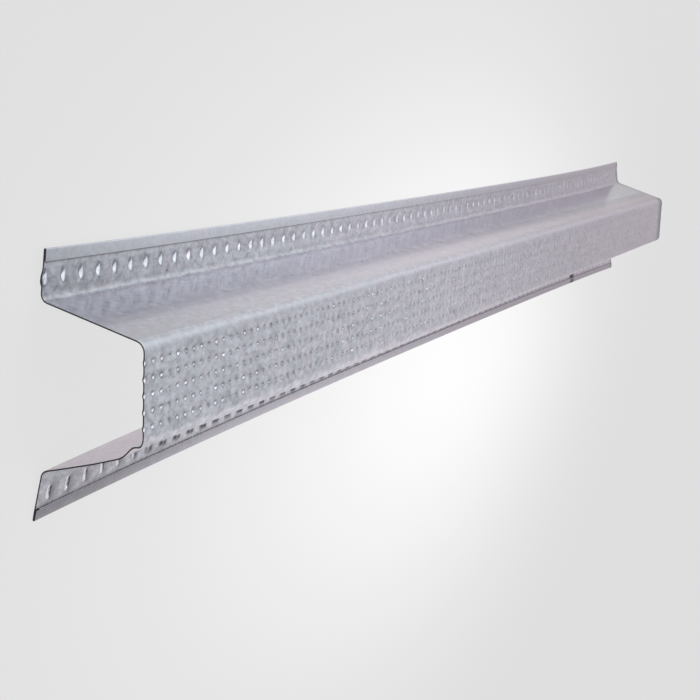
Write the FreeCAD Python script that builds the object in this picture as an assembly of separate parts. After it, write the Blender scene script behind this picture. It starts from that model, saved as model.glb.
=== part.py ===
import FreeCAD, Part
import math
import os

# Hat channel: one length of thin galvanised sheet, rolled to a hat section whose flange edges are hemmed.
# It lies with the backs of its flanges on the floor and its crown up. X runs along the length,
# Y across the flanges and Z from the flanges to the crown. The origin is on the floor, under the middle.

# Driving dimensions, in millimetres
length = 762.0
depth = 38.1  # from the backs of the flanges to the outer face of the crown
overall_width = 83.0  # across the folded edges of the two flanges
crown_width = 31.75  # between the crown's corners before they are rounded, at the middle of the sheet
flange_width = 16.2  # from the flange's corner before it is rounded to the flange's folded edge
hem_width = 3.6  # from the folded edge of a flange to the free edge of its hem
hem_gap = 0.2  # air that the closed hem leaves above the flange it is folded onto
sheet_thickness = 0.46
crown_bend_radius = 3.8  # where crown and web meet, at the middle of the sheet
flange_bend_radius = 3.2  # where web and flange meet, at the middle of the sheet

# Straight runs shorter than this have no edge of their own, as between the two halves of a hem's fold
shortest_run = 1e-4


def hat_line():
    """Corners of the sheet's middle line, each with its bend radius, from one hem's free edge to the other's."""
    half_sheet = sheet_thickness / 2
    fold_radius = (sheet_thickness + hem_gap) / 2
    fold_line = overall_width / 2 - half_sheet
    flange_level = half_sheet
    hem_level = flange_level + 2 * fold_radius
    one_side = [
        (overall_width / 2 - hem_width, hem_level, 0.0),
        (fold_line, hem_level, fold_radius),
        (fold_line, flange_level, fold_radius),
        (overall_width / 2 - flange_width, flange_level, flange_bend_radius),
        (crown_width / 2, depth - half_sheet, crown_bend_radius),
    ]
    other_side = [(-y, z, radius) for y, z, radius in reversed(one_side)]
    return [(FreeCAD.Vector(0, y, z), radius) for y, z, radius in one_side + other_side]


def direction(start, end):
    """Unit vector from one point to another."""
    return (end - start).normalize()


def side_of(run):
    """Unit vector in the section's plane, square to a run and on its left."""
    return FreeCAD.Vector(1, 0, 0).cross(run)


def sheet_face_line(corners, offset):
    """Edges along one face of the sheet, a set distance from its middle line, and the two points they end at."""
    points = [point for point, radius in corners]
    radii = [radius for point, radius in corners]
    edges = []
    here = points[0] + side_of(direction(points[0], points[1])) * offset
    first = here
    for before, corner, after, radius in zip(points, points[1:], points[2:], radii[1:]):
        run_in = direction(before, corner)
        run_out = direction(corner, after)
        turn = run_in.getAngle(run_out)
        to_bend = radius * math.tan(turn / 2)
        towards_centre = (run_out - run_in).normalize()
        left_turn = math.copysign(1.0, side_of(run_in).dot(towards_centre))
        centre = corner + towards_centre * (radius / math.cos(turn / 2))
        bend_start = corner - run_in * to_bend + side_of(run_in) * offset
        bend_end = corner + run_out * to_bend + side_of(run_out) * offset
        bend_middle = centre - towards_centre * (radius - left_turn * offset)
        if (bend_start - here).Length > shortest_run:
            edges.append(Part.LineSegment(here, bend_start).toShape())
        edges.append(Part.Arc(bend_start, bend_middle, bend_end).toShape())
        here = bend_end
    last = points[-1] + side_of(direction(points[-2], points[-1])) * offset
    edges.append(Part.LineSegment(here, last).toShape())
    return edges, first, last


def hat_section():
    """Flat face of the whole section: the sheet's two faces, closed across the free edges of the hems."""
    corners = hat_line()
    left_edges, left_first, left_last = sheet_face_line(corners, sheet_thickness / 2)
    right_edges, right_first, right_last = sheet_face_line(corners, -sheet_thickness / 2)
    first_edge = Part.LineSegment(left_first, right_first).toShape()
    last_edge = Part.LineSegment(left_last, right_last).toShape()
    outline = left_edges + [last_edge] + right_edges + [first_edge]
    return Part.Face(Part.Wire(Part.__sortEdges__(outline)))


def hat_channel():
    """The section drawn out along X to the channel's length, half each way from the origin."""
    section = hat_section()
    section.translate(FreeCAD.Vector(-length / 2, 0, 0))
    return section.extrude(FreeCAD.Vector(length, 0, 0))


os.makedirs("parts", exist_ok=True)
channel = hat_channel()
channel.exportStep("parts/hat_channel.step")
box = channel.BoundBox
print(f"hat_channel: valid {channel.isValid()}, volume {channel.Volume:.1f} mm3,")
print(f"box {box.XLength:.2f} x {box.YLength:.2f} x {box.ZLength:.2f} mm, lowest {box.ZMin:.3f}")
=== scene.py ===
# %% [markdown]
# A length of hat channel
#
# A hat channel is a strip of thin galvanised steel that a row of rollers folds to the outline of a hat: a
# flat crown, two sloping webs and two flanges whose edges are hemmed. Before the strip is folded, toothed
# rollers press dimples into it, so that screw points start without skidding.
#
# The lesson follows the same order: a flat strip is laid out, dimples are pressed, the strip is rolled to
# its section and cut, and only then does it get its thickness and its finish. Everything is in metres, in
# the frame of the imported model.

# %% Load the frame
import math
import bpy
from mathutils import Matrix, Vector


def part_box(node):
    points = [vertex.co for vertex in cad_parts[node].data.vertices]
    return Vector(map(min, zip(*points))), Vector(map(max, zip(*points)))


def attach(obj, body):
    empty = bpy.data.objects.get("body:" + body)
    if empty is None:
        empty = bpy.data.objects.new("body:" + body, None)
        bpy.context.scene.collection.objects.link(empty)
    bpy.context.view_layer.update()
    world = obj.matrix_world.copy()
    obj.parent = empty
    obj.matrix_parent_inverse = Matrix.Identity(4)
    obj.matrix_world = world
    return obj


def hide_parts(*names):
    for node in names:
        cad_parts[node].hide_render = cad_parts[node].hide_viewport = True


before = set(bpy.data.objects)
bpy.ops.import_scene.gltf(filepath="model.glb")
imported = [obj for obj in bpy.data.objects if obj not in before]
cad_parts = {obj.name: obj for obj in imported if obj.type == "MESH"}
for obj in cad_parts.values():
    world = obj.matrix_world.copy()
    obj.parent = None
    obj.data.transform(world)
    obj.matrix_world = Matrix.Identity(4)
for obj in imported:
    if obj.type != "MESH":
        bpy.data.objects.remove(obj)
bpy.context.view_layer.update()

from types import SimpleNamespace

import bmesh
import bpy
from mathutils import Matrix, Vector

low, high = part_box("hat_channel")
mm = 0.001
length = high.x - low.x
overall_width = high.y - low.y
depth = high.z - low.z
print(f"frame: {length / mm:.1f} x {overall_width / mm:.1f} x {depth / mm:.1f} mm")

# %% [markdown]
# The middle line of the sheet
#
# A bent sheet is easiest to describe by the line half way through its thickness, because that line keeps
# its length when the sheet is bent. It could be drawn point by point, but a few widths and a radius for
# each corner say the same and can be changed later. Each corner is stored as a curve point, with its bend
# in the point's radius, so that a Fillet Curve node can round it off. The hems and flange bends differ a
# little from one side to the other, as they do on the real channel.

# %% Corners of the middle line
sheet_thickness = 0.46 * mm
crown_width = 31.75 * mm
flange_width = 16.2 * mm
hem_widths = {1: 4.0 * mm, -1: 3.6 * mm}
hem_gap = 0.03 * mm
crown_bend = 3.5 * mm
flange_bends = {1: 3.0 * mm, -1: 1.9 * mm}
hem_bend = (sheet_thickness + hem_gap) / 2

crown_level = high.z - sheet_thickness / 2
flange_level = low.z + sheet_thickness / 2
fold_line = high.y - sheet_thickness / 2
crown_corner = Vector((0, crown_width / 2, crown_level))
flange_corner = Vector((0, high.y - flange_width, flange_level))


def half_line(side):
    """Corners and bends of one half of the middle line, from the crown outward."""
    corners = [
        (crown_corner, crown_bend),
        (flange_corner, flange_bends[side]),
        (Vector((0, fold_line, flange_level)), hem_bend),
        (Vector((0, fold_line, flange_level + 2 * hem_bend)), hem_bend),
        (Vector((0, high.y - hem_widths[side], flange_level + 2 * hem_bend)), 0.0),
    ]
    return [(Vector((0, side * point.y, point.z)), bend) for point, bend in corners]


middle_line = half_line(-1)[::-1] + half_line(1)


def new_object(name, data):
    """An object in the scene, made from a mesh, a curve, a lamp or a camera."""
    made = bpy.data.objects.new(name, data)
    bpy.context.scene.collection.objects.link(made)
    return made


def section_curve(name, corners):
    """A curve through the corners, with each corner's bend radius kept on its point."""
    data = bpy.data.curves.new(name, "CURVE")
    data.dimensions = "3D"
    spline = data.splines.new("POLY")
    spline.points.add(len(corners) - 1)
    for entry, (point, bend) in zip(spline.points, corners):
        entry.co = (*point, 1)
        entry.radius = bend
    return new_object(name, data)


section = section_curve("hat_section", middle_line)
print(f"middle line: {len(middle_line)} corners")

# %% [markdown]
# How wide the flat strip is
#
# A maker works out the blank first: the flats between the bends, plus the arc of each bend. The same sums
# give the places on the strip where each bend starts and ends and where the flange's dimples lie, counted
# from the middle of the crown.

# %% Distances across the strip
web_run = flange_corner - crown_corner
turn = math.atan2(-web_run.z, web_run.y)
row_from_fold = {1: 9.05 * mm, -1: 8.1 * mm}


def strip_marks(side):
    """Where each bend starts and ends on one half of the flat strip, from the crown's middle outward."""
    flange_bend = flange_bends[side]
    crown_setback = crown_bend * math.tan(turn / 2)
    flange_setback = flange_bend * math.tan(turn / 2)
    marks = {"crown_edge": crown_corner.y - crown_setback}
    marks["web_start"] = marks["crown_edge"] + crown_bend * turn
    marks["web_end"] = marks["web_start"] + web_run.length - crown_setback - flange_setback
    marks["flange_start"] = marks["web_end"] + flange_bend * turn
    flat_start = flange_corner.y + flange_setback
    marks["row"] = marks["flange_start"] + high.y - row_from_fold[side] - flat_start
    marks["hem_shadow"] = marks["flange_start"] + high.y - hem_widths[side] - flat_start
    marks["fold_start"] = marks["flange_start"] + fold_line - hem_bend - flat_start
    marks["fold_end"] = marks["fold_start"] + hem_bend * math.pi
    marks["strip_edge"] = marks["fold_end"] + fold_line - hem_bend - (high.y - hem_widths[side])
    return marks


halves = {side: strip_marks(side) for side in (1, -1)}
blank_width = halves[1]["strip_edge"] + halves[-1]["strip_edge"]
print(f"blank: {blank_width / mm:.2f} mm wide, bends turn {math.degrees(turn):.1f} degrees")

# %% [markdown]
# Where the dimples go
#
# The crown carries five rows of small dimples on a nearly square grid. Each flange carries one row of
# larger, longer dimples at twice that spacing, and the two flanges are half a step apart. The strip is
# cut to length after it is dimpled, so the shears go through whatever dimples happen to lie there.

# %% Dimple layout
column_pitch = 4.85 * mm
row_pitch = 5.1 * mm
crown_rows = 5
first_column = low.x - 0.35 * mm
flange_pitch = 2 * column_pitch
flange_cell_width = 6.4 * mm
flange_shift = 0.75 * mm

spare_columns = 4
line_step = column_pitch / 2
first_line = first_column - column_pitch / 2 - spare_columns * column_pitch
crown_columns = 2 * spare_columns + math.ceil(length / column_pitch) + 1
crown_columns += crown_columns % 2
line_count = 2 * crown_columns + 1
dimpled_crown = crown_rows * row_pitch / 2
print(f"dimples: {crown_columns} columns of {crown_rows} on the crown, {crown_columns // 2} on each flange")

# %% [markdown]
# One dimple as a tile
#
# Cutting dimples into a large grid would need a very fine grid everywhere. Instead one dimple is modelled
# once, as a rectangular tile with a rounded hollow in it, and the tile is laid side by side like a floor.
# Its rings run from the middle of the hollow to its rim, and the outer ring has points where the
# neighbours have theirs. The hollow is one unit deep, so that each copy can be pressed to a depth of its
# own.

# %% Dimple tiles
crown_profile = ((0.0, 1.0), (0.36 * mm, 0.86), (0.95 * mm, 0.2), (1.5 * mm, 0.04))
flange_profile = ((0.0, 1.0), (0.4 * mm, 0.9), (1.05 * mm, 0.25), (1.5 * mm, 0.04))
crown_stretch = 1.25
flange_stretch = 1.95
slot_power = 0.75
slot_drop = 0.4 * mm


def tile_rim(size, steps):
    """Points round a rectangle, from the middle of its right side; steps are the divisions of its sides."""
    half = Vector((size[0] / 2, size[1] / 2))
    across, along = steps[1], steps[0]
    right = [(half.x, -half.y + size[1] * i / across) for i in range(across)]
    top = [(half.x - size[0] * i / along, half.y) for i in range(along)]
    left = [(-half.x, half.y - size[1] * i / across) for i in range(across)]
    bottom = [(-half.x + size[0] * i / along, -half.y) for i in range(along)]
    rim = right + top + left + bottom
    start = across // 2
    return rim[start:] + rim[:start]


def squared(value, power):
    """A sine or cosine whose circle bulges towards a square as the power falls below one."""
    return math.copysign(abs(value) ** power, value)


def mesh_object(name, work):
    """An object with the mesh that was worked out in a bmesh, which is freed."""
    mesh = bpy.data.meshes.new(name)
    work.to_mesh(mesh)
    work.free()
    return new_object(name, mesh)


def dimple_tile(name, size, steps, profile, stretch, power=1.0, shift=0.0, drop=0.0):
    """A rectangular tile with a hollow one unit deep; its profile is a row of radii and depths."""
    tile = bmesh.new()
    rim = tile_rim(size, steps)
    angles = [2 * math.pi * i / len(rim) for i in range(len(rim))]
    circle = [(squared(math.cos(angle), power), squared(math.sin(angle), power)) for angle in angles]
    centre = tile.verts.new((shift, -drop, -profile[0][1]))
    rings = [
        [tile.verts.new((shift + radius * x, stretch * radius * y - drop * sunk, -sunk)) for x, y in circle]
        for radius, sunk in profile[1:]
    ]
    rings.append([tile.verts.new((x, y, 0)) for x, y in rim])
    for i in range(len(rim)):
        j = (i + 1) % len(rim)
        tile.faces.new((centre, rings[0][i], rings[0][j]))
        for inner, outer in zip(rings, rings[1:]):
            tile.faces.new((inner[i], outer[i], outer[j], inner[j]))
    return mesh_object(name, tile)


crown_tile = dimple_tile(
    "crown_dimple_tile", (column_pitch, row_pitch), (2, 2), crown_profile, crown_stretch
)
flange_tile = dimple_tile(
    "flange_dimple_tile", (flange_pitch, flange_cell_width), (4, 4), flange_profile, flange_stretch,
    slot_power, flange_shift, slot_drop,
)
for tile in (crown_tile, flange_tile):
    print(f"{tile.name}: {len(tile.data.polygons)} faces")

# %% [markdown]
# The plain bands of the strip
#
# Between the dimpled rows the strip is plain, but it still needs lines where it will bend: a face can't
# be rolled round a corner that it has no points in. So each band gets as many divisions as its bend
# needs, and the lower web gets more where it will be dented. Every band has the same lines along the
# length as the tiles have, so that they can be welded.

# %% Plain bands
dented_web = 7.0 * mm


def half_bands(side):
    """The plain bands on one half of the strip: start, end and divisions."""
    marks = halves[side]
    cell_inner = marks["row"] - flange_cell_width / 2
    cell_outer = marks["row"] + flange_cell_width / 2
    dented = marks["web_start"] + dented_web
    return [
        (dimpled_crown, marks["crown_edge"], 1),
        (marks["crown_edge"], marks["web_start"], 5),
        (marks["web_start"], dented, 6 if side < 0 else 1),
        (dented, marks["web_end"], 3),
        (marks["web_end"], marks["flange_start"], 5),
        (marks["flange_start"], cell_inner, 1),
        (cell_outer, marks["fold_start"], 2),
        (marks["fold_start"], marks["fold_end"], 5),
        (marks["fold_end"], marks["strip_edge"], 1),
    ]


bands = half_bands(1) + [(-end, -start, steps) for start, end, steps in half_bands(-1)]


def plain_bands(name):
    """The strip's bands without the dimpled rows, flat, with the length along X and the width along Y."""
    strip = bmesh.new()
    lines = [first_line + i * line_step for i in range(line_count)]
    for start, end, steps in bands:
        levels = [start + (end - start) * i / steps for i in range(steps + 1)]
        grid = [[strip.verts.new((x, y, 0)) for x in lines] for y in levels]
        for lower, upper in zip(grid, grid[1:]):
            for i in range(line_count - 1):
                strip.faces.new((lower[i], lower[i + 1], upper[i + 1], upper[i]))
    return mesh_object(name, strip)


blank = plain_bands("channel_blank")
print(f"blank: {len(blank.data.polygons)} plain faces")

# %% [markdown]
# Writing node trees as sums
#
# Node trees are long to build one node at a time. Two small helpers keep them readable: a bench, which
# adds any node with its settings and its sockets, and a wire, which stands for a node's output and can be
# used in a sum. Writing a + b on wires adds a Math node, so a formula in the script looks like the
# formula on paper.

# %% Bench
class Bench:
    """A node tree, and the one way that nodes are added to it."""

    def __init__(self, tree):
        self.tree = tree

    def node(self, kind, settings=None, sockets=None, output=0):
        """Adds a node: its settings first, then a value or a wire for each socket. Gives one output."""
        made = self.tree.nodes.new(kind)
        for name, value in (settings or {}).items():
            setattr(made, name, value)
        for name, value in (sockets or {}).items():
            entry = made.inputs[name]
            if isinstance(value, Wire):
                self.tree.links.new(value.socket, entry)
            else:
                entry.default_value = value
        return Wire(made.outputs[output]) if made.outputs else made


print("bench: adds nodes with Bench.node")

# %% Wire
def both_ways(operation):
    """An operator on wires and its reflected form, so that 1 - wire works too."""

    def forward(wire, other):
        return wire.maths(operation, wire, other)

    def reflected(wire, other):
        return wire.maths(operation, other, wire)

    return forward, reflected


class Wire:
    """An output socket that takes part in sums."""

    def __init__(self, socket):
        self.socket = socket

    def out(self, name):
        """Another output of the same node."""
        return Wire(self.socket.node.outputs[name])

    def maths(self, operation, *values):
        """A Math node in the same tree."""
        bench = Bench(self.socket.id_data)
        return bench.node("ShaderNodeMath", {"operation": operation}, dict(enumerate(values)))

    __add__, __radd__ = both_ways("ADD")
    __sub__, __rsub__ = both_ways("SUBTRACT")
    __mul__, __rmul__ = both_ways("MULTIPLY")
    __truediv__, __rtruediv__ = both_ways("DIVIDE")
    __pow__, __rpow__ = both_ways("POWER")

    def __neg__(self):
        return self.maths("MULTIPLY", self, -1.0)

    def above(self, level):
        return self.maths("GREATER_THAN", self, level)

    def size(self):
        return self.maths("ABSOLUTE", self)

    def whole(self):
        return self.maths("FLOOR", self)

    def exp(self):
        return self.maths("EXPONENT", self)

    def sine(self):
        return self.maths("SINE", self)

    def clamped(self):
        return self.maths("MINIMUM", self.maths("MAXIMUM", self, 0.0), 1.0)


def bell(value, middle, reach):
    """One at a middle value, fading to nothing beyond a reach."""
    return (-((value - middle) / reach) ** 2).exp()


print("wire: sums on outputs, and a bell for what fades both ways")

# %% Geometry trees
FLOAT, INTEGER, OBJECT = "NodeSocketFloat", "NodeSocketInt", "NodeSocketObject"
MATERIAL = "NodeSocketMaterial"


def geometry_tree(name, inputs):
    """An empty geometry tree with named inputs: its bench, the inputs' wires and their identifiers."""
    tree = bpy.data.node_groups.new(name, "GeometryNodeTree")
    tree.interface.new_socket("Geometry", in_out="OUTPUT", socket_type="NodeSocketGeometry")
    tree.interface.new_socket("Geometry", in_out="INPUT", socket_type="NodeSocketGeometry")
    identifiers = {}
    for label, kind in inputs.items():
        entry = tree.interface.new_socket(label, in_out="INPUT", socket_type=kind)
        identifiers[label] = entry.identifier
    group_input = tree.nodes.new("NodeGroupInput")
    wires = {socket.name: Wire(socket) for socket in group_input.outputs if socket.name}
    return Bench(tree), wires, identifiers


def add_modifier(piece, bench, identifiers, values):
    """Puts the tree on the piece, with each input set by its identifier."""
    modifier = piece.modifiers.new(bench.tree.name, "NODES")
    modifier.node_group = bench.tree
    for label, value in values.items():
        modifier[identifiers[label]] = value


print("geometry trees: named inputs, set by identifier")

# %% [markdown]
# The zinc and the cut edge, as empty materials
#
# The trees below end in Set Material, so the two finishes need names now. Their nodes are filled in
# further down, once there is a shape to look at: zinc on both faces of the sheet, and sheared steel on
# its edges.

# %% Two finishes
def empty_material(name):
    """A material that has no nodes yet."""
    made = bpy.data.materials.new(name)
    made.use_nodes = True
    made.node_tree.nodes.clear()
    return made


zinc = empty_material("galvanised_sheet")
cut_edge = empty_material("sheared_edge")
print(f"finishes: {zinc.name}, {cut_edge.name}")

# %% [markdown]
# Pressing the dimples
#
# Geometry Nodes lay the tiles: a grid of points for the crown and a line of points for each flange, with
# a tile on each point. On the real strip no two columns are pressed alike, because the teeth of the
# roller are worn by different amounts, so each column of the crown draws its depth from a fixed seed, and
# each dimple varies around that. The flat place of every point is kept as an attribute, because the zinc
# pattern was on the strip before it was bent.

# %% Tree that presses the dimples
rounding_room = 0.001
shallowest, deepest = 0.75, 1.1

press, given, press_inputs = geometry_tree(
    "press_dimples",
    {
        "Crown tile": OBJECT, "Flange tile": OBJECT, "Columns": INTEGER, "Rows": INTEGER,
        "Column pitch": FLOAT, "Row pitch": FLOAT, "First column": FLOAT,
        "Flange row +Y": FLOAT, "Flange row -Y": FLOAT,
        "Least crown depth": FLOAT, "Most crown depth": FLOAT, "Flange depth": FLOAT,
        "Weld distance": FLOAT, "Seed": INTEGER, "Finish": MATERIAL,
    },
)


def tiles_on(points, tile, depth_of_each):
    """A realized tile on each point, pressed to its own depth."""
    info = press.node("GeometryNodeObjectInfo", {"transform_space": "ORIGINAL"}, {"Object": tile})
    scale = press.node("ShaderNodeCombineXYZ", None, {"X": 1.0, "Y": 1.0, "Z": depth_of_each})
    copies = press.node("GeometryNodeInstanceOnPoints", None, {
        "Points": points, "Instance": info.out("Geometry"), "Scale": scale,
    })
    return press.node("GeometryNodeRealizeInstances", None, {"Geometry": copies})


def drawn(identity, seed, least=0.0, most=1.0):
    """A number drawn between two limits, the same for the same identity and seed."""
    sockets = {2: least, 3: most, "ID": identity, "Seed": seed}
    return press.node("FunctionNodeRandomValue", {"data_type": "FLOAT"}, sockets, output=1)


def crown_points():
    """Points on the crown's grid, and the depth that each is pressed to."""
    columns, rows = given["Columns"], given["Rows"]
    grid = press.node("GeometryNodeMeshGrid", None, {
        "Size X": (columns - 1) * given["Column pitch"], "Size Y": (rows - 1) * given["Row pitch"],
        "Vertices X": columns, "Vertices Y": rows,
    })
    middle = given["First column"] + (columns - 1) * given["Column pitch"] / 2
    place = press.node("ShaderNodeCombineXYZ", None, {"X": middle})
    points = press.node("GeometryNodeTransform", None, {"Geometry": grid, "Translation": place})
    index = press.node("GeometryNodeInputIndex")
    column = (index / rows + rounding_room).whole()
    by_column = drawn(column, given["Seed"])
    by_dimple = drawn(index, given["Seed"] + 1, shallowest, deepest)
    least, most = given["Least crown depth"], given["Most crown depth"]
    return points, (least + (most - least) * by_column) * by_dimple


def flange_points(row, start, seed):
    """Points along one flange's row, and the depth that each is pressed to."""
    pitch = given["Column pitch"] * 2
    first = press.node("ShaderNodeCombineXYZ", None, {"X": start, "Y": row})
    step = press.node("ShaderNodeCombineXYZ", None, {"X": pitch})
    count = (given["Columns"] / 2).whole()
    line = press.node("GeometryNodeMeshLine", {"mode": "OFFSET"}, {
        "Count": count, "Start Location": first, "Offset": step,
    })
    index = press.node("GeometryNodeInputIndex")
    return line, given["Flange depth"] * drawn(index, seed, shallowest, deepest)


print(f"press_dimples: {len(press_inputs)} inputs")

# %% Dimples on the crown and the flanges
points, pressed = crown_points()
tiles = [tiles_on(points, given["Crown tile"], pressed)]
upper_row = (given["Flange row +Y"], given["First column"], given["Seed"] + 4)
lower_row = (-given["Flange row -Y"], given["First column"] + given["Column pitch"], given["Seed"] + 2)
for row in (upper_row, lower_row):
    points, pressed = flange_points(*row)
    tiles.append(tiles_on(points, given["Flange tile"], pressed))
joined = press.node("GeometryNodeJoinGeometry")
for part in [given["Geometry"]] + tiles:
    press.tree.links.new(part.socket, joined.socket.node.inputs["Geometry"])
welded = press.node("GeometryNodeMergeByDistance", None, {
    "Geometry": joined, "Distance": given["Weld distance"],
})
flat_place = press.node("GeometryNodeInputPosition")
kept = press.node("GeometryNodeStoreNamedAttribute", {"data_type": "FLOAT_VECTOR", "domain": "POINT"}, {
    "Geometry": welded, "Name": "strip", "Value": flat_place,
})
finished = press.node("GeometryNodeSetMaterial", None, {"Geometry": kept, "Material": given["Finish"]})
press.node("NodeGroupOutput", None, {"Geometry": finished})

add_modifier(blank, press, press_inputs, {
    "Crown tile": crown_tile, "Flange tile": flange_tile, "Columns": crown_columns, "Rows": crown_rows,
    "Column pitch": column_pitch, "Row pitch": row_pitch, "First column": first_line + column_pitch / 2,
    "Flange row +Y": halves[1]["row"], "Flange row -Y": halves[-1]["row"],
    "Least crown depth": 0.2 * mm, "Most crown depth": 0.5 * mm,
    "Flange depth": 0.72 * mm, "Weld distance": 0.02 * mm, "Seed": 11, "Finish": zinc,
})
print(f"press_dimples: {len(press.tree.nodes)} nodes")

# %% [markdown]
# Rolling the strip
#
# A second tree does what the rollers do. It reads how far across the strip a point lies, finds the point
# at that distance along the rounded middle line, and lifts it by its dimple's depth along the line's
# normal. The strip could be extruded along its section instead, but then the dimples would have to be
# bent one by one.

# %% Tree that rolls the strip
bend_points = 24

roll, given, roll_inputs = geometry_tree(
    "roll_section",
    {
        "Section": OBJECT, "Half strip": FLOAT, "Half length": FLOAT,
        "Crown level": FLOAT, "Flange level": FLOAT, "Flange corner": FLOAT,
        "Flange width": FLOAT, "Middle closes": FLOAT,
        "Near reach": FLOAT, "Far reach": FLOAT, "Near spread +Y": FLOAT, "Near spread -Y": FLOAT,
        "Far spread +Y": FLOAT, "Far spread -Y": FLOAT, "Near lean +Y": FLOAT, "Near lean -Y": FLOAT,
        "Far lean +Y": FLOAT, "Slant": FLOAT, "Swell": FLOAT, "Swell place": FLOAT, "Swell reach": FLOAT,
        "Crown flat": FLOAT, "Burr": FLOAT, "Burr place": FLOAT, "Burr reach": FLOAT,
        "Rise": FLOAT, "Dent reach": FLOAT, "Dent bulge": FLOAT, "Dent hollow": FLOAT, "Finish": MATERIAL,
    },
)
flat = roll.node("ShaderNodeSeparateXYZ", None, {"Vector": roll.node("GeometryNodeInputPosition")})
along, across, lift = flat.out("X"), flat.out("Y"), flat.out("Z")

outline = roll.node("GeometryNodeObjectInfo", {"transform_space": "ORIGINAL"}, {"Object": given["Section"]})
rounded = roll.node("GeometryNodeFilletCurve", {"mode": "POLY"}, {
    "Curve": outline.out("Geometry"), "Count": bend_points, "Radius": roll.node("GeometryNodeInputRadius"),
})
place = roll.node("GeometryNodeSampleCurve", {"mode": "LENGTH"}, {
    "Curves": rounded, "Length": across + given["Half strip"],
}).out("Position")
tangent = place.out("Tangent")
normal = roll.node("ShaderNodeVectorMath", {"operation": "CROSS_PRODUCT"}, {0: (1.0, 0.0, 0.0), 1: tangent})
raised = roll.node("ShaderNodeVectorMath", {"operation": "SCALE"}, {0: normal, "Scale": lift})
rolled = roll.node("ShaderNodeVectorMath", {"operation": "ADD"}, {0: place, 1: raised})
bent = roll.node("ShaderNodeSeparateXYZ", None, {"Vector": rolled})
y, z = bent.out("Y"), bent.out("Z")
print(f"roll_section: {len(roll_inputs)} inputs")

# %% [markdown]
# The shape of one sheared length
#
# Thin channel springs open where it is sheared, so the real one is a little narrower in the middle than
# at its ends. That spread fades away from each end and is different on the two sides, as is the lean of
# the flanges. This length also runs slightly askew, its lower crown bend swells a little, its lower web
# is dented at the near end, and the shears left a small burr on the upper flange. Moving points by hand
# could do all this once, but a formula for each, with its size as an input of the tree, can be adjusted.

# %% Spread, lean and dent
dent_skew = 0.55
kink_place, kink_reach = 0.095, 0.07
swell_fade = 4

upper = across.above(0.0)
lower = 1 - upper
side = upper - lower
from_near = along + given["Half length"]
from_far = given["Half length"] - along
near = (-from_near / given["Near reach"]).exp()
far = (-from_far / given["Far reach"]).exp()
near_spread = upper * given["Near spread +Y"] + lower * given["Near spread -Y"]
far_spread = upper * given["Far spread +Y"] + lower * given["Far spread -Y"]
spread = near * near_spread + far * far_spread
down_web = ((given["Crown level"] - z) / (given["Crown level"] - given["Flange level"])).clamped()
out_flange = ((y.size() - given["Flange corner"]) / given["Flange width"]).clamped()
near_lean = upper * given["Near lean +Y"] + lower * given["Near lean -Y"]
lean = near * near_lean + far * upper * given["Far lean +Y"]

bulge = (down_web ** dent_skew * math.pi).sine() * given["Dent bulge"]
hollow = given["Dent hollow"] * bell(down_web, kink_place, kink_reach)
dent = lower * (-from_near / given["Dent reach"]).exp() * (bulge - hollow)

swell = lower * given["Swell"] * bell(along, given["Swell place"], given["Swell reach"])
swell = swell * ((y.size() - given["Crown flat"]) / given["Swell"] / swell_fade).clamped() * (1 - down_web)
burr = given["Burr"] * bell(across, given["Burr place"], given["Burr reach"])
burr = burr * (-from_near / given["Burr reach"]).exp()

new_y = y + side * (down_web * (spread - given["Middle closes"]) + dent + swell) - given["Slant"] * along
new_z = z + down_web * spread * given["Rise"] + out_flange * lean - burr
new_place = roll.node("ShaderNodeCombineXYZ", None, {"X": along, "Y": new_y, "Z": new_z})
moved = roll.node("GeometryNodeSetPosition", None, {"Geometry": given["Geometry"], "Position": new_place})
solid = roll.node("GeometryNodeRealizeInstances", None, {"Geometry": moved})
finished = roll.node("GeometryNodeSetMaterial", None, {"Geometry": solid, "Material": given["Finish"]})
roll.node("NodeGroupOutput", None, {"Geometry": finished})
print(f"roll_section: {len(roll.tree.nodes)} nodes")

# %% Sizes of this length
add_modifier(blank, roll, roll_inputs, {
    "Section": section, "Half strip": halves[-1]["strip_edge"], "Half length": length / 2,
    "Crown level": crown_level, "Flange level": flange_level,
    "Flange corner": flange_corner.y, "Flange width": flange_width,
    "Middle closes": 2.33 * mm, "Near reach": 129.5 * mm, "Far reach": 147.0 * mm,
    "Near spread +Y": 2.39 * mm, "Near spread -Y": 5.37 * mm,
    "Far spread +Y": 4.05 * mm, "Far spread -Y": 2.21 * mm,
    "Near lean +Y": 1.4 * mm, "Near lean -Y": -2.86 * mm, "Far lean +Y": -2.4 * mm,
    "Slant": 0.00144, "Swell": 0.75 * mm, "Swell place": low.x + 190 * mm, "Swell reach": 150 * mm,
    "Crown flat": dimpled_crown, "Burr": 0.25 * mm, "Burr place": halves[1]["row"] - 1.9 * mm,
    "Burr reach": 0.8 * mm, "Rise": 0.3, "Dent reach": 20 * mm, "Dent bulge": 1.45 * mm,
    "Dent hollow": 2.15 * mm, "Finish": zinc,
})
print(f"{blank.name}: {len(blank.modifiers)} trees, to press and to roll")

# %% [markdown]
# From trees to a plain mesh
#
# The modifiers are evaluated once, and the result is kept as an ordinary mesh, because what is handed on
# has to be a plain mesh. The ends are then cut square, through the dimples, and the thickness is added
# evenly to both sides of the middle surface. Solidify closes the edges with a rim, which takes the finish
# of sheared steel. One corner of the near end was left a little long, so its points are drawn out last.

# %% Cut to length
cut_tolerance = 1e-7


def plain_mesh(piece, name):
    """The evaluated shape of a piece, as a new mesh."""
    evaluated = piece.evaluated_get(bpy.context.evaluated_depsgraph_get())
    mesh = bpy.data.meshes.new_from_object(evaluated)
    mesh.name = name
    return mesh


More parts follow.
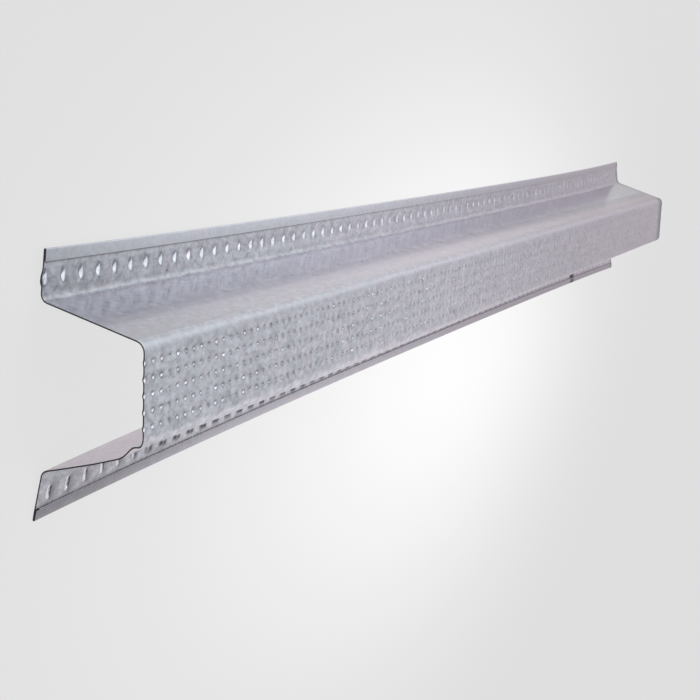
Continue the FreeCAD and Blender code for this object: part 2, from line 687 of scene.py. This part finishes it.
def shear(mesh, place, outward):
    """Cuts the mesh square across at a place along X, and drops what lies outward of it."""
    work = bmesh.new()
    work.from_mesh(mesh)
    parts = work.verts[:] + work.edges[:] + work.faces[:]
    bmesh.ops.bisect_plane(
        work, geom=parts, dist=cut_tolerance, plane_co=(place, 0, 0), plane_no=(outward, 0, 0),
        clear_outer=True,
    )
    work.to_mesh(mesh)
    work.free()


strip_mesh = plain_mesh(blank, "hat_channel_middle")
shear(strip_mesh, low.x, -1)
shear(strip_mesh, high.x, 1)
print(f"middle surface: {len(strip_mesh.polygons)} faces")

# %% Thicken
channel = new_object("hat_channel_sheet", strip_mesh)
channel.data.materials.clear()
channel.data.materials.append(zinc)
channel.data.materials.append(cut_edge)
thicken = channel.modifiers.new("thickness", "SOLIDIFY")
thicken.thickness = sheet_thickness
thicken.offset = 0.0
thicken.use_even_offset = True
thicken.use_quality_normals = True
thicken.material_offset_rim = 1
solid_mesh = plain_mesh(channel, "hat_channel_sheet")
channel.modifiers.clear()
channel.data = solid_mesh
for spare in (blank, section, crown_tile, flange_tile):
    bpy.data.objects.remove(spare)
print(f"sheet: {sheet_thickness / mm:.2f} mm thick")

# %% Long corner and smooth shading
long_corner = 1.75 * mm
corner_fade = 25 * mm
sharp_angle = math.radians(62)
half_spread = overall_width / 2 - crown_corner.y
for vertex in solid_mesh.vertices:
    x = min(max(vertex.co.x, low.x), high.x)
    outward = min(max((-vertex.co.y - crown_corner.y) / half_spread, 0.0), 1.0)
    vertex.co.x = x - long_corner * outward * math.exp((low.x - x) / corner_fade)
solid_mesh.shade_smooth()
solid_mesh.set_sharp_from_angle(angle=sharp_angle)
solid_mesh.calc_loop_triangles()
print(f"channel: {len(solid_mesh.loop_triangles)} triangles, {len(solid_mesh.vertices)} points")

# %% [markdown]
# Reading places from the flat strip
#
# A finish has to know whether it is on the crown, a web, a flange or a hem, and how far along the channel
# it is. All of that can be read from the flat place that was kept on each point. It is worked out once,
# as distances and as masks that run from nothing to one, and each step of the finish then uses what it
# needs.

# %% Places on the sheet
upper_marks, lower_marks = halves[1], halves[-1]
full_shade_depth = 0.18 * mm


def sheet_places(bench):
    """Where a point of the sheet lies: distances on the flat strip, and masks from nothing to one."""
    strip = bench.node("ShaderNodeAttribute", {"attribute_name": "strip"}).out("Vector")
    place = bench.node("ShaderNodeSeparateXYZ", None, {"Vector": strip})
    along, across, lift = place, place.out("Y"), place.out("Z")
    out = across.size()
    upper = across.above(0.0)
    past_crown = ((out - upper_marks["web_start"]) / (0.8 * mm)).clamped()
    on_flange = ((out - upper_marks["web_end"]) / (1.5 * mm)).clamped()
    bend_middle = (upper_marks["crown_edge"] + upper_marks["web_start"]) / 2
    return SimpleNamespace(
        strip=strip, along=along, across=across, out=out,
        gone=(along - low.x) / length,
        upper=upper, lower=1 - upper,
        past_crown=past_crown, on_flange=on_flange,
        on_web=past_crown * (1 - on_flange),
        on_hem=out.above(upper_marks["fold_start"]),
        near_end=bell(along, low.x, 90 * mm),
        first_part=bell(along, low.x, 45 * mm),
        middle=bell(along, low.x + 240 * mm, 170 * mm),
        rolled_edge=upper * bell(out, bend_middle, 2.5 * mm),
        fold=upper * bell(out, upper_marks["flange_start"] - 1.6 * mm, 2.0 * mm),
        sunk=(-lift / full_shade_depth).clamped(),
    )


print(f"places: dimples take full shade from {full_shade_depth / mm:.2f} mm deep")

# %% [markdown]
# The patterns in the zinc
#
# The crystals that grow as hot zinc cools, the spangle, differ a little in tone and gloss. Over them lie
# clouds, wisps and flecks, and the faint cross lines that the rollers leave. An image could show all
# this, but Voronoi and noise textures on the strip's flat coordinates run round the bends as the real
# pattern does, at any size.

# %% Spangle, clouds and roller lines
def mixed(bench, factor, first, second):
    """Two colours, mixed by a factor."""
    sockets = {"Factor": factor, 6: first, 7: second}
    return bench.node("ShaderNodeMix", {"data_type": "RGBA"}, sockets, output=2)


def scaled(bench, vector, factors):
    """A vector with each of its parts multiplied."""
    return bench.node("ShaderNodeVectorMath", {"operation": "MULTIPLY"}, {0: vector, 1: factors})


def per(size):
    """How many times a size fits in a metre."""
    return 1.0 / size


def zinc_patterns(bench, at):
    """The patterns in the zinc, each with its own size along and across the strip."""

    def noise(x_size, y_size, detail, distortion=0.0):
        stretched = scaled(bench, at.strip, (per(x_size), per(y_size), 0.0))
        sockets = {"Vector": stretched, "Scale": 1.0, "Detail": detail, "Distortion": distortion}
        return bench.node("ShaderNodeTexNoise", None, sockets)

    spangle = bench.node("ShaderNodeTexVoronoi", {"feature": "F1"}, {
        "Vector": scaled(bench, at.strip, (per(2.6 * mm), per(3.4 * mm), 0.0)), "Scale": 1.0,
    }).out("Color")
    return SimpleNamespace(
        crystal=bench.node("ShaderNodeSeparateColor", None, {"Color": spangle}),
        cloud=noise(9 * mm, 9 * mm, 4.0),
        wisp=noise(6.5 * mm, 4.5 * mm, 5.0, 1.5),
        chatter=noise(1.2 * mm, 4.5 * mm, 3.0),
        fleck=noise(2.8 * mm, 1.8 * mm, 3.0, 0.6),
        stain=noise(6 * mm, 4 * mm, 3.0, 0.8),
        grain=noise(1.4 * mm, 1.4 * mm, 2.0),
    )


def mottling(at, pattern):
    """How much lighter or darker the zinc is than its surroundings: most on the near crown and flanges."""
    mottle = 0.12 * (pattern.crystal - 0.5) + 0.25 * (pattern.cloud - 0.5)
    mottle = mottle + 0.8 * (pattern.wisp - 0.5) + 0.85 * (pattern.fleck - 0.5)
    mottle = mottle + (0.1 + 0.3 * at.gone) * (pattern.chatter - 0.5)
    mottle = mottle * (1 - 0.5 * at.gone) * (1 - 0.5 * at.on_web)
    return mottle * (1 - 0.7 * at.on_hem) * (1 - 0.6 * at.rolled_edge)


print("zinc patterns: one spangle and six noises")

# %% [markdown]
# Light and dark along the sheet
#
# Smooth zinc mirrors what is near it. On the upper web the flange's reflection makes a band along the fold,
# and folds and hems are lighter or darker than the flats beside them. Ray tracing gives part of this. The
# rest depends on a room that isn't modelled, so it is painted as a level that multiplies the colour.

# %% Band and level
def mirror_band(at):
    """The band on the upper web: its lightened part, its tinted part and the line at its edge."""
    web_width = upper_marks["web_end"] - upper_marks["web_start"]
    on_band = at.on_web * at.upper * ((high.x - at.along) / (15 * mm)).clamped()
    from_fold = (upper_marks["web_end"] - at.out) / web_width
    edge = 0.64 + 0.12 * at.gone - from_fold
    return SimpleNamespace(
        mirrored=on_band * ((0.52 + 0.09 * at.gone - from_fold) / 0.06).clamped(),
        shaded=on_band * (edge / 0.06).clamped(),
        line=on_band * bell(edge, 0.02, 0.04),
    )


def flange_tone(at):
    """What the flanges and their hems add to the painted level of light and shade."""
    inner = at.upper * at.on_flange * ((upper_marks["row"] - 1 * mm - at.out) / (1 * mm)).clamped()
    hem_rise = ((upper_marks["strip_edge"] - at.out) / hem_widths[1]).clamped()
    hem_tone = 0.05 + 0.06 * at.middle - 0.08 * at.first_part - 0.14 * at.gone
    upper_hem = at.upper * at.on_hem * (0.16 * (1 - at.gone) * hem_rise + hem_tone)
    # The lower flange and its hem are painted darker near the near end, the flat lighter further on:
    # painted light and shade.
    lower_flat = at.lower * at.on_flange * (1 - at.on_hem) * (0.22 - 0.5 * at.near_end)
    lower_hem = at.lower * at.on_hem * (0.14 + 0.40 * at.near_end)
    return lower_flat - lower_hem + upper_hem + inner * (0.13 * at.middle - 0.06 * at.near_end)


def sheet_level(at, band):
    """The level of the whole sheet, about one."""
    level = 1.02 - 0.10 * at.gone + 0.12 * at.middle - 0.05 * at.rolled_edge - 0.03 * at.on_flange
    level = level - (0.06 + 0.24 * at.middle) * at.fold
    level = level - at.upper * at.past_crown * (0.09 * at.first_part + 0.04 * at.gone * at.on_flange)
    level = level - at.on_web * (0.08 + 0.09 * at.gone + 0.14 * ((at.gone - 0.85) / 0.1).clamped())
    level = level + (0.2 + 0.02 * at.middle + 0.08 * at.gone * at.gone) * band.mirrored
    return level - 0.05 * band.shaded - 0.08 * band.line + flange_tone(at)


print("level: web band, flanges and hems")

# %% [markdown]
# Painted shade and glints in the dimples
#
# A dimple shows as a light side and a dark side, and which side is dark changes along the channel, as the
# eye sees it from a flatter angle. The shade in the hollows is painted into the colour from the depth that
# was kept with the flat place. On the lower flange the near dimples get a painted white glint with a
# painted dark rim, and the far ones get painted dark dashes of shade.

# %% Shade in the dimples
rim_step = 0.4 * mm
glint_end = 45 * mm
glint_fade = 25 * mm


def lower_dimples(at, pattern):
    """The painted dark shade round the lower flange's dimples, and the painted white glint in the near
    ones.
    """
    step = (at.along - first_line - 1.5 * column_pitch - flange_shift) / flange_pitch
    past_dimple = (step - (step + 0.5).whole()) * flange_pitch
    shift = (0.15 + 3.6 * at.gone).clamped()
    # The dash is painted dark shade round each dimple; its middle moves outward along the length.
    dash = ((3.3 * mm - past_dimple.size()) / (1.5 * mm)).clamped() * (0.5 + pattern.cloud)
    dash = dash * bell(at.out, lower_marks["row"] + 2.8 * mm * shift, 1.1 * mm) * (1 - 0.9 * at.gone)
    beyond = ((at.along - low.x - glint_end) / glint_fade).clamped()
    # The rim is painted shade on the far side of each near dimple; the white on its near side is a painted
    # highlight.
    rim = 0.9 * (2 * at.sunk).clamped() * (past_dimple / rim_step - 1.7).clamped() * (1 - beyond)
    painted_glint = (2 * at.sunk - 0.9).clamped() * (1.9 - past_dimple / rim_step).clamped() * (1 - beyond)
    return SimpleNamespace(
        painted_shade=at.lower * at.on_flange * (0.95 * dash * beyond + rim),
        painted_glint=painted_glint * at.lower * at.on_flange,
    )


def dimple_shade(at):
    """The painted shade on the dark side of the crown's dimples and of the upper flange's."""
    row_middle = row_pitch * (at.across / row_pitch + 0.5).whole()
    upper_half = ((at.across - row_middle) / (0.4 * mm)).clamped()
    column = (at.along - first_line) / column_pitch - 0.5
    before_column = ((column + 0.5).whole() - column) * column_pitch
    near_half = (0.4 + before_column / (0.5 * mm)).clamped()
    turned = (5 * at.gone - 0.5).clamped()
    crown = 0.6 * at.sunk * (1 - at.past_crown) * (upper_half + (near_half - upper_half) * turned)
    outer_half = ((at.out - upper_marks["row"] - 0.6 * mm) / (0.8 * mm)).clamped()
    flange = 0.45 * at.sunk * at.upper * at.on_flange * outer_half * (1 - 2 * at.gone).clamped()
    return (crown + flange) * (1 - 0.6 * at.gone)


print(f"lower flange: pale bloom in the first {glint_end / mm:.0f} mm")

# %% [markdown]
# Grooves and marks
#
# The groove beside each hem is darkened with painted shade, where the hem's edge shades the flange. This
# length also has a few marks of its own: a spot near the near end and a dark mark on the lower flange
# towards the far end, and painted shade covers the glint of the burr at the near end. They are small
# bells of darkness, because a mark this small needs no shape.

# %% Grooves and marks
mark_place = low.x + 640 * mm
spot_place = low.x + 73.5 * mm


def marks_and_painted_shade(at):
    """The painted shade in the grooves beside the hems, the spot and the mark, and painted shade on the
    burr.
    """
    # The grooves beside the hems get painted shade, where the hem's edge shades the flange.
    upper_groove_shade = at.upper * bell(at.out, upper_marks["hem_shadow"], 0.6 * mm) * (0.7 - 0.67 * at.gone)
    lower_groove_shade = at.lower * bell(at.out, lower_marks["hem_shadow"], 1.0 * mm) * 0.45
    spot = bell(at.across, upper_marks["flange_start"] + 0.5 * mm, 0.5 * mm)
    spot = 0.8 * bell(at.along, spot_place, 0.5 * mm) * spot
    # This is painted shade over the burr at the near end, which covers its glint.
    burr_shade = bell(at.along, low.x, 1.2 * mm) * bell(at.across, upper_marks["row"] - 1.4 * mm, 1.6 * mm)
    mark = at.lower * bell(at.along, mark_place, 4.5 * mm)
    mark = mark * bell(at.out, lower_marks["hem_shadow"] + 1.5 * mm, 5 * mm)
    return upper_groove_shade + lower_groove_shade + spot + burr_shade + 1.6 * mark


print(f"marks: {(mark_place - low.x) / mm:.0f} mm and {(spot_place - low.x) / mm:.1f} mm from the near end")

# %% [markdown]
# The zinc
#
# Hot-dipped zinc is a metal that is neither polished nor matt. It is cool where it is fresh and warmer
# where it has begun to stain, and darker along its far edge. One colour could stand for it, but then it
# would look like plastic, so the steps above are mixed over each other: metal, far edge, marks with painted
# shade, and a painted glint. A slight bump gives the reflections grain.

# %% Zinc material
cool_zinc = (0.63, 0.676, 0.725, 1)
warm_zinc = (0.69, 0.64, 0.695, 1)
# near_band and far_band tint the painted reflection band on the upper web.
near_band = (0.648, 0.67, 0.69, 1)
far_band = (0.6, 0.675, 0.70, 1)
dark_edge = (0.22, 0.25, 0.255, 1)
# This dark colour serves the marks and all the painted shade in grooves and dimples.
dirt_and_shade = (0.04, 0.04, 0.05, 1)
# This white is a painted glint in the near dimples of the lower flange.
painted_glint_white = (0.97, 0.97, 0.98, 1)
grazing_tint = (0.9, 0.855, 0.885, 1)


def metal_colour(bench, at, pattern, band):
    """The clean zinc, with its stain, its band and its level."""
    share = 0.95 * at.gone + 1.9 * (pattern.stain - 0.5) + 0.1 * at.fold + 0.1 * at.rolled_edge
    share = share + at.on_web * (0.2 + 0.8 * at.lower) + 0.25 * at.lower * at.on_flange
    tint = mixed(bench, share.clamped(), cool_zinc, warm_zinc)
    tint = mixed(bench, 0.85 * band.shaded, tint, mixed(bench, at.gone, near_band, far_band))
    tone = sheet_level(at, band) * (1 + mottling(at, pattern))
    return bench.node("ShaderNodeVectorMath", {"operation": "SCALE"}, {0: tint, "Scale": tone})


def zinc_gloss(at, pattern):
    """Roughness: low on the webs, higher on bends, folds and the far end."""
    gloss = 0.22 - 0.06 * at.on_web + 0.22 * at.gone * at.gone * (1 - at.on_web)
    gloss = gloss + 0.14 * at.rolled_edge + 0.14 * at.fold
    gloss = gloss + 0.10 * (pattern.crystal - 0.5) + 0.14 * (pattern.cloud - 0.5)
    return gloss + 0.3 * at.sunk * at.on_flange * (1.6 * at.gone).clamped()


def zinc_ripple(at, pattern):
    """Height of the fine grain and of the roller lines."""
    ripple = 1.3 * pattern.grain + (0.4 + 1.2 * at.gone) * pattern.chatter
    ripple = ripple * (1 - 0.85 * at.on_web) * (1 - 0.7 * at.on_hem) * (1 - 0.6 * at.gone)
    return ripple * (1 - 0.7 * at.rolled_edge) * (1 - 0.5 * at.fold)


def zinc_nodes(material):
    """Galvanised sheet: patterned metal, dark at its far edge, with painted shade and a painted glint in
    its dimples.
    """
    bench = Bench(material.node_tree)
    at = sheet_places(bench)
    pattern = zinc_patterns(bench, at)
    dimples = lower_dimples(at, pattern)
    clean = metal_colour(bench, at, pattern, mirror_band(at))
    end_reach = 6 * mm + 10 * mm * (1 - at.past_crown)
    end_band = 0.95 * ((at.along - high.x + end_reach) / end_reach).clamped()
    edged = mixed(bench, end_band, clean, dark_edge)
    # dark adds the marks to the painted shade; the white mixed in after it is a painted glint.
    dark = (marks_and_painted_shade(at) + dimples.painted_shade + dimple_shade(at)).clamped()
    marked_and_shaded = mixed(bench, dark, edged, dirt_and_shade)
    colour = mixed(bench, dimples.painted_glint, marked_and_shaded, painted_glint_white)
    bump = bench.node("ShaderNodeBump", None, {
        "Strength": 0.4, "Distance": 0.05 * mm, "Height": zinc_ripple(at, pattern),
    })
    shader = bench.node("ShaderNodeBsdfPrincipled", None, {
        "Base Color": colour, "Roughness": zinc_gloss(at, pattern), "Metallic": 1 - dimples.painted_glint,
        "Normal": bump, "Specular Tint": grazing_tint,
    })
    bench.node("ShaderNodeOutputMaterial", None, {"Surface": shader})


zinc_nodes(zinc)
print(f"{zinc.name}: {len(zinc.node_tree.nodes)} nodes")

# %% [markdown]
# The sheared edge
#
# Where the shears went through, there is no zinc: the edge is torn, dull and dark, and it draws a thin
# black line round the open end. The long edges, on the hems, lie so close to the flange that they only
# catch the light, so they are painted pale, as painted light. A separate piece for each edge could carry
# its own finish, but a mask on the place does too.

# %% Sheared edge material
end_zone = 0.3 * mm
tear_size = 0.8 * mm


def cut_edge_nodes(material):
    """Torn steel at the ends, dark and dull, and long edges painted pale as painted light, both finely
    varied.
    """
    bench = Bench(material.node_tree)
    place = bench.node("ShaderNodeTexCoord").out("Object")
    tear = bench.node("ShaderNodeTexNoise", None, {
        "Vector": scaled(bench, place, (per(tear_size),) * 3), "Scale": 1.0, "Detail": 2.0,
    })
    along = bench.node("ShaderNodeSeparateXYZ", None, {"Vector": place})
    at_end = along.size().above(length / 2 - end_zone)
    # The pale slit colour is painted light on the long edges, which catch the light.
    slit = mixed(bench, tear, (0.82, 0.81, 0.84, 1), (0.92, 0.91, 0.94, 1))
    sheared = mixed(bench, tear, (0.012, 0.011, 0.014, 1), (0.06, 0.058, 0.065, 1))
    colour = mixed(bench, at_end, slit, sheared)
    shader = bench.node("ShaderNodeBsdfPrincipled", None, {
        "Base Color": colour, "Roughness": 0.5 + 0.3 * (tear - 0.5), "Metallic": 0.6 * at_end,
    })
    bench.node("ShaderNodeOutputMaterial", None, {"Surface": shader})


cut_edge_nodes(cut_edge)
print(f"{cut_edge.name}: {len(cut_edge.node_tree.nodes)} nodes")

# %% [markdown]
# The floor
#
# The floor is plain and pale, and a painted pool of light makes it brightest near the channel. A lit floor
# alone would turn grey, so where the camera or a reflection sees it, it keeps most of its own colour, and
# the metal has something pale to mirror. The rest is lit, so that the channel still throws a soft shadow on
# it.

# %% Floor
# The floor's colour is painted lighter near the channel: a painted pool of light.
painted_pool_white = (0.97, 0.97, 0.97, 1)
edge_paper = (0.715, 0.715, 0.715, 1)
own_light = 1.06
seen_share, mirrored_share = 0.9, 0.8
floor_gap = 0.1 * mm
lowest = min(vertex.co.z for vertex in solid_mesh.vertices)
floor_size = 12.0
floor_level = lowest - floor_gap
bpy.ops.mesh.primitive_plane_add(size=floor_size, location=(0, 0, floor_level))
floor = bpy.context.object
floor.name = "floor"
paper = empty_material("pale_floor")


def floor_nodes(material):
    """A pale floor, lit by a painted pool near the channel, that keeps a share of its own colour where
    seen.
    """
    bench = Bench(material.node_tree)
    coordinates = bench.node("ShaderNodeTexCoord").out("Object")
    place = bench.node("ShaderNodeSeparateXYZ", None, {"Vector": coordinates})
    # A painted pool of light, brightest close to the channel.
    painted_light_pool = bell(place, 0.0, 0.27) * bell(place.out("Y"), -0.05, 0.137)
    colour = mixed(bench, painted_light_pool, edge_paper, painted_pool_white)
    path = bench.node("ShaderNodeLightPath")
    own_share = path.out("Is Camera Ray") * seen_share + path.out("Is Glossy Ray") * mirrored_share
    lit = bench.node("ShaderNodeBsdfDiffuse", None, {"Color": colour})
    own = bench.node("ShaderNodeEmission", None, {"Color": colour, "Strength": own_light})
    mix = bench.node("ShaderNodeMixShader", None, {"Fac": own_share.clamped(), 1: lit, 2: own})
    bench.node("ShaderNodeOutputMaterial", None, {"Surface": mix})


floor_nodes(paper)
floor.data.materials.append(paper)
print(f"floor: {floor_level / mm:.2f} mm")

# %% [markdown]
# The room and the lamp
#
# Metal mostly shows the room around it. Panels and lamps could be built as meshes, but a brightness for
# each direction is quicker to adjust: a pale wall in front with a darker ceiling, light from the lower
# side, and a dark panel behind. The camera itself sees a plain backdrop, and one soft lamp gives the
# shadow its direction.

# %% Room and lamp
backdrop = (0.86, 0.86, 0.87, 1)
warm_side = (1.0, 0.965, 0.985, 1)
cool_side = (0.985, 0.988, 1.02, 1)
world = bpy.data.worlds.new("studio")
bpy.context.scene.world = world
world.use_nodes = True
world.node_tree.nodes.clear()


def sky_nodes(tree):
    """The brightness and tint of the room in each direction, and a pale backdrop for the camera."""
    bench = Bench(tree)
    direction = bench.node("ShaderNodeTexCoord").out("Generated")
    parts = bench.node("ShaderNodeSeparateXYZ", None, {"Vector": direction})
    ahead, sideways, height = parts, parts.out("Y"), parts.out("Z")
    in_front = ((ahead - 0.55) / 0.1).clamped()
    aside = 1 - in_front
    horizon = bell(height, 0.1, 0.12)
    bright_side = (sideways / 0.12).clamped()
    glow = bell(height - sideways, 0.0, 0.2) * bright_side
    low_side = ((-0.2 - sideways) / 0.2).clamped() * ((0.45 - height) / 0.2).clamped()
    overhead = ((height - 0.58) / 0.06).clamped()
    front_level = 0.67 + 0.1 * bright_side + 0.16 * glow + 0.3 * low_side
    front_level = front_level - 0.16 * horizon * (1 - bright_side) - 0.38 * overhead
    behind = ((0.2 - ahead) / 0.15).clamped()
    low_beside = ((-0.42 - sideways) / 0.1).clamped() * ((0.78 - height) / 0.08).clamped()
    dark_panel = ((-0.25 - sideways) / 0.1).clamped() * (behind + low_beside).clamped()
    strip_light = ((0.3 - sideways) / 0.1).clamped() * (1 - dark_panel)
    aside_level = 0.5 - 0.38 * dark_panel + 0.9 * strip_light
    level = in_front * front_level + aside * aside_level
    tint = mixed(bench, (sideways * 2 + 0.8).clamped(), warm_side, cool_side)
    lit = bench.node("ShaderNodeVectorMath", {"operation": "SCALE"}, {0: tint, "Scale": level})
    seen = bench.node("ShaderNodeLightPath").out("Is Camera Ray")
    colour = mixed(bench, seen, lit, backdrop)
    sky = bench.node("ShaderNodeBackground", None, {"Color": colour, "Strength": 1.0})
    bench.node("ShaderNodeOutputWorld", None, {"Surface": sky})


sky_nodes(world.node_tree)


def soft_lamp(name, place, aim, size, power):
    """A square area lamp that points at a place."""
    data = bpy.data.lights.new(name, "AREA")
    data.size = size
    data.energy = power
    lamp = new_object(name, data)
    lamp.location = place
    lamp.rotation_euler = (Vector(aim) - Vector(place)).to_track_quat("-Z", "Y").to_euler()


soft_lamp("side_lamp", (0.3, 1.3, 0.9), (0, 0, 0), 1.2, 6)
print(f"light: room of {len(world.node_tree.nodes)} nodes and one side lamp")

# %% [markdown]
# The camera
#
# The photograph shows the channel on its side, so the camera leans over by a quarter turn: what is to the
# right in the picture is up in the room. The place, the aim and the lens come from fitting a pinhole
# camera to the corners of the channel in the photograph.

# %% Camera
camera_place = Vector((-727.33, 93.82, 253.90)) * mm
camera_forward = Vector((0.90177, -0.18643, -0.38994)).normalized()
camera_up = Vector((0.15532, 0.98170, -0.11017))
lens_length = 71.494
sensor_width = 36.0

camera_data = bpy.data.cameras.new("camera")
camera_data.lens = lens_length
camera_data.sensor_width = sensor_width
camera_data.clip_start = 0.01
camera = new_object("camera", camera_data)
camera_right = camera_forward.cross(camera_up).normalized()
true_up = camera_right.cross(camera_forward)
turned = Matrix((camera_right, true_up, -camera_forward)).transposed()
camera.matrix_world = Matrix.Translation(camera_place) @ turned.to_4x4()
bpy.context.scene.camera = camera
bpy.context.scene.view_settings.view_transform = "Standard"
print(f"camera: {lens_length} mm lens")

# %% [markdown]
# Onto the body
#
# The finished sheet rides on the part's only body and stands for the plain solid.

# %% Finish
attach(channel, "root")
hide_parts("hat_channel")
